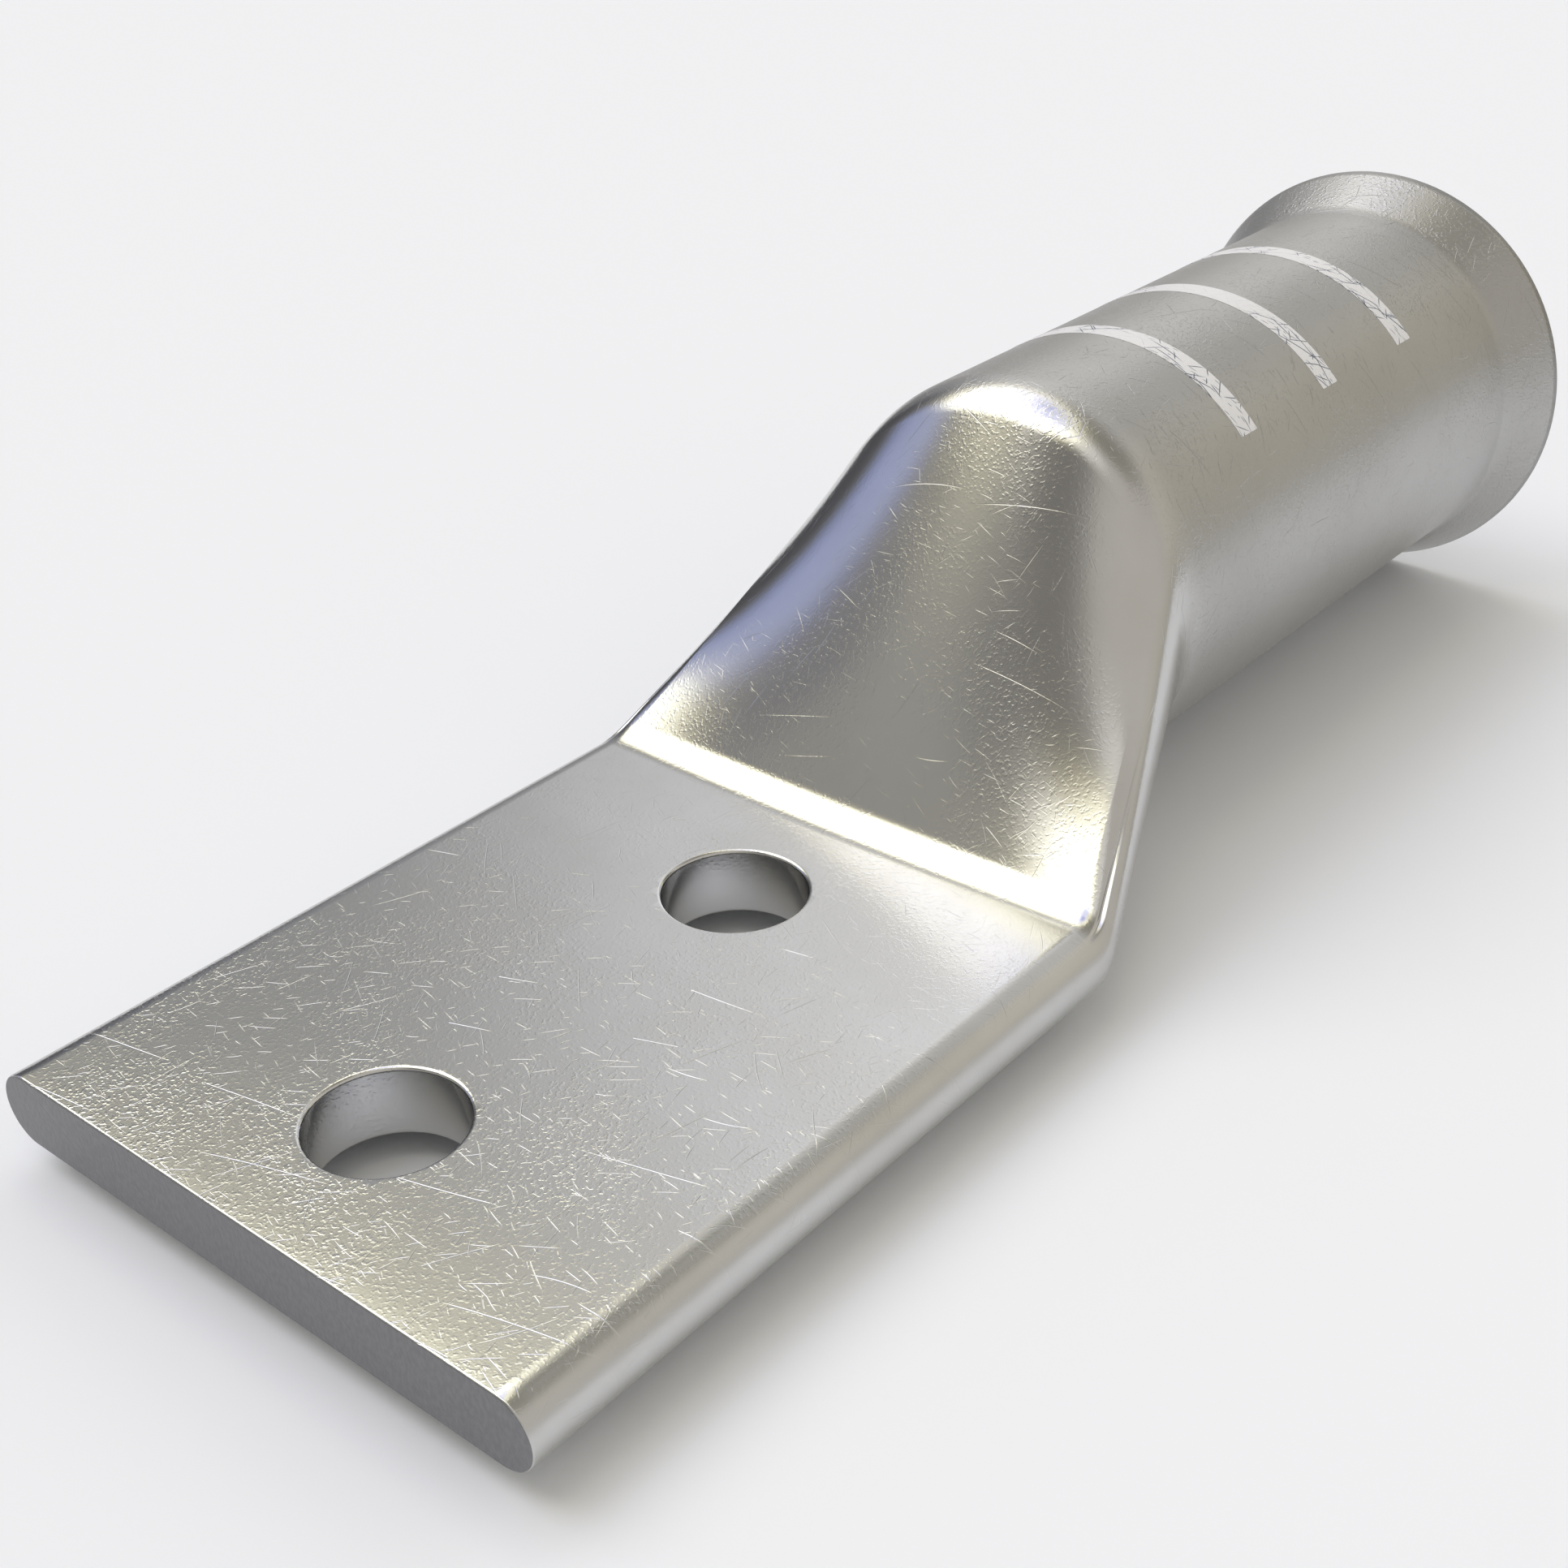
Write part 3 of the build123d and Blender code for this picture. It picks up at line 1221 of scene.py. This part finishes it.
@dataclass
class Studio:
    """Camera, floor and soft surroundings."""

    sizes: LugSizes
    camera_place: tuple[float, float, float] = (-108.772, -119.553, 122.403)
    camera_turn: tuple[float, float, float] = (59.7352, 1.5658, -50.1739)
    lens: float = 50.0
    sensor_width: float = 36.0
    nearest: float = 5.0
    floor_radius: float = 900.0
    floor_steps: int = 96
    floor_gap: float = 0.02
    floor_roughness: float = 0.9
    floor_colour: tuple[float, float, float, float] = (0.93, 0.95, 0.985, 1.0)
    ambient: Colour = (0.42, 0.41, 0.38)
    glows: tuple[Glow, ...] = (
        Glow(98, 64, 27, 32.5, (1.95, 1.9, 1.5)),
        Glow(98, 64, 20, 28, (0.0, 0.08, 0.95)),
        Glow(123, 34, 3, 12, (-0.2, -0.19, -0.13)),
        Glow(98, 64, 30, 37, (0.22, 0.18, 0.02)),
        Glow(147, 53, 3, 9, (0.7, 0.7, 0.75)),
        Glow(-150, 76, 3, 16, (0.4, 0.4, 0.4)),
        Glow(32, 32, 5, 20, (0.44, 0.44, 0.46)),
        Glow(24, 18, 4, 18, (0.24, 0.24, 0.24)),
        Glow(56, 35, 8, 26, (0.0, 0.01, 0.04)),
        Glow(6, 42, 6, 36, (0.32, 0.32, 0.32)),
        Glow(-28, 20, 8, 28, (0.22, 0.19, 0.12)),
        Glow(-90, 40, 20, 66, (0.24, 0.22, 0.2)),
        Glow(102, 26, 5, 18, (0.06, 0.12, 0.42)),
        Glow(70, 4, 6, 36, (-0.32, -0.31, -0.27)),
        Glow(171, 49, 4, 24, (-0.2, -0.2, -0.18)),
        Glow(-38, 63, 6, 26, (-0.31, -0.3, -0.3)),
        Glow(4, 61, 3, 12, (-0.18, -0.18, -0.19)),
        Glow(46, 70, 4, 11, (-1.3, -1.25, -1.05)),
        Glow(98, 81, 8, 16, (-1.42, -1.38, -1.3)),
        Glow(52, 14, 5, 18, (0.2, 0.2, 0.2)),
    )

    def add_camera(self) -> None:
        """Places the camera at the photograph's viewpoint."""
        data = bpy.data.cameras.new("view_camera")
        data.lens = self.lens
        data.sensor_width = self.sensor_width
        data.clip_start = self.nearest * METRES
        camera = bpy.data.objects.new("view_camera", data)
        camera.location = Vector(self.camera_place) * METRES
        camera.rotation_euler = Euler([radians(angle) for angle in self.camera_turn], "XYZ")
        bpy.context.scene.collection.objects.link(camera)
        bpy.context.scene.camera = camera

    def add_floor(self) -> None:
        """Lays a round pale floor under the bell's lowest point."""
        lowest = self.sizes.axis_height - self.sizes.bell_radius
        disc = bmesh.new()
        bmesh.ops.create_circle(disc, cap_ends=True, segments=self.floor_steps, radius=self.floor_radius)
        centre = (self.sizes.shoulder_x, 0, lowest - self.floor_gap)
        bmesh.ops.translate(disc, vec=centre, verts=disc.verts)
        floor = finished_object(disc, "studio_floor")
        material = bpy.data.materials.new("pale_floor")
        material.use_nodes = True
        shader = material.node_tree.nodes["Principled BSDF"]
        shader.inputs["Base Color"].default_value = self.floor_colour
        shader.inputs["Roughness"].default_value = self.floor_roughness
        shader.inputs["Specular IOR Level"].default_value = 0.0
        floor.data.materials.append(material)

    def add_surroundings(self) -> None:
        """Builds the world: an even level with soft glows and shades in it."""
        world = bpy.data.worlds.new("studio")
        bpy.context.scene.world = world
        world.use_nodes = True
        world.node_tree.nodes.clear()
        sheet = NodeSheet(world.node_tree)
        direction = sheet.add("TexCoord").outputs["Generated"]
        total = sheet.add("CombineXYZ", dict(enumerate(self.ambient))).outputs[0]
        for glow in self.glows:
            inputs = {0: direction, 1: glow.direction()}
            facing = sheet.add("VectorMath", inputs, operation="DOT_PRODUCT").outputs["Value"]
            patch = sheet.step(facing, cos(radians(glow.outer)), cos(radians(glow.inner)))
            total = sheet.vector("ADD", total, sheet.vector("SCALE", glow.colour, Scale=patch))
        light = sheet.add("Background", {"Color": total})
        sheet.add("OutputWorld", {"Surface": light.outputs[0]})

    def build(self) -> None:
        """Sets the whole studio up."""
        self.add_camera()
        self.add_floor()
        self.add_surroundings()
        bpy.context.scene.view_settings.view_transform = "Standard"


def main() -> None:
    """Builds the scene."""
    logging.basicConfig(level=logging.INFO, format="%(message)s")
    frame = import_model()
    sizes = LugSizes.from_frame(frame["record"])
    effects = SurfaceEffects()
    CompressionLug(sizes).build(effects)
    CrimpBands(sizes).build(effects)
    Studio(sizes).build()


if __name__ == "__main__":
    main()
